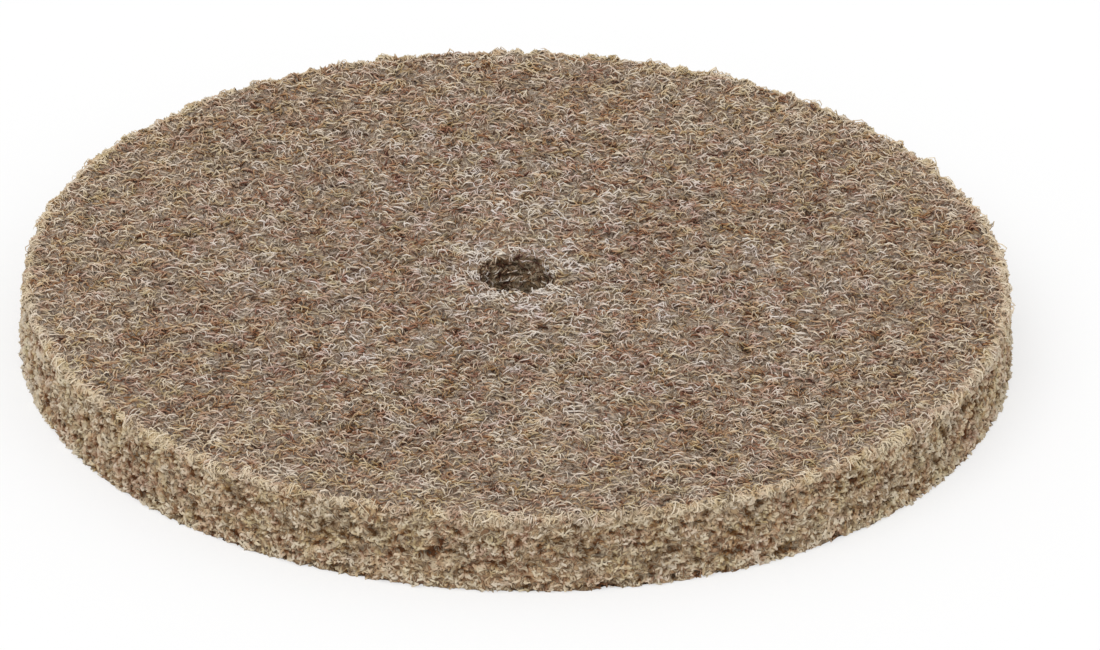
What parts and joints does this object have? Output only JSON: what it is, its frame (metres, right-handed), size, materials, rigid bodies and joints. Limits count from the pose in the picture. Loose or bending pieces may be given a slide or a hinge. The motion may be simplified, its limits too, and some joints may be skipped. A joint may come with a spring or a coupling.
{
  "type": "non-woven abrasive disc",
  "caption": "Flat round pad of resin-bonded nylon fibre and abrasive grain, with soft cut edges and a plain centre hole that slips onto a mandrel for deburring and finishing.",
  "frame": {"origin": "centre of the hole on the lower face, where the disc lies on a bench", "axes": "+Z along the hole's axis, up through the disc; X and Y lie in the lower face"},
  "size_m": [0.075, 0.075, 0.006],
  "materials": {
    "fibre_web": "matted tan, brown and grey nylon fibre, matt with a slight sparkle along single strands"
  },
  "bodies": {
    "root": {"abrasive_pad": "fibre_web"}
  },
  "joints": []
}
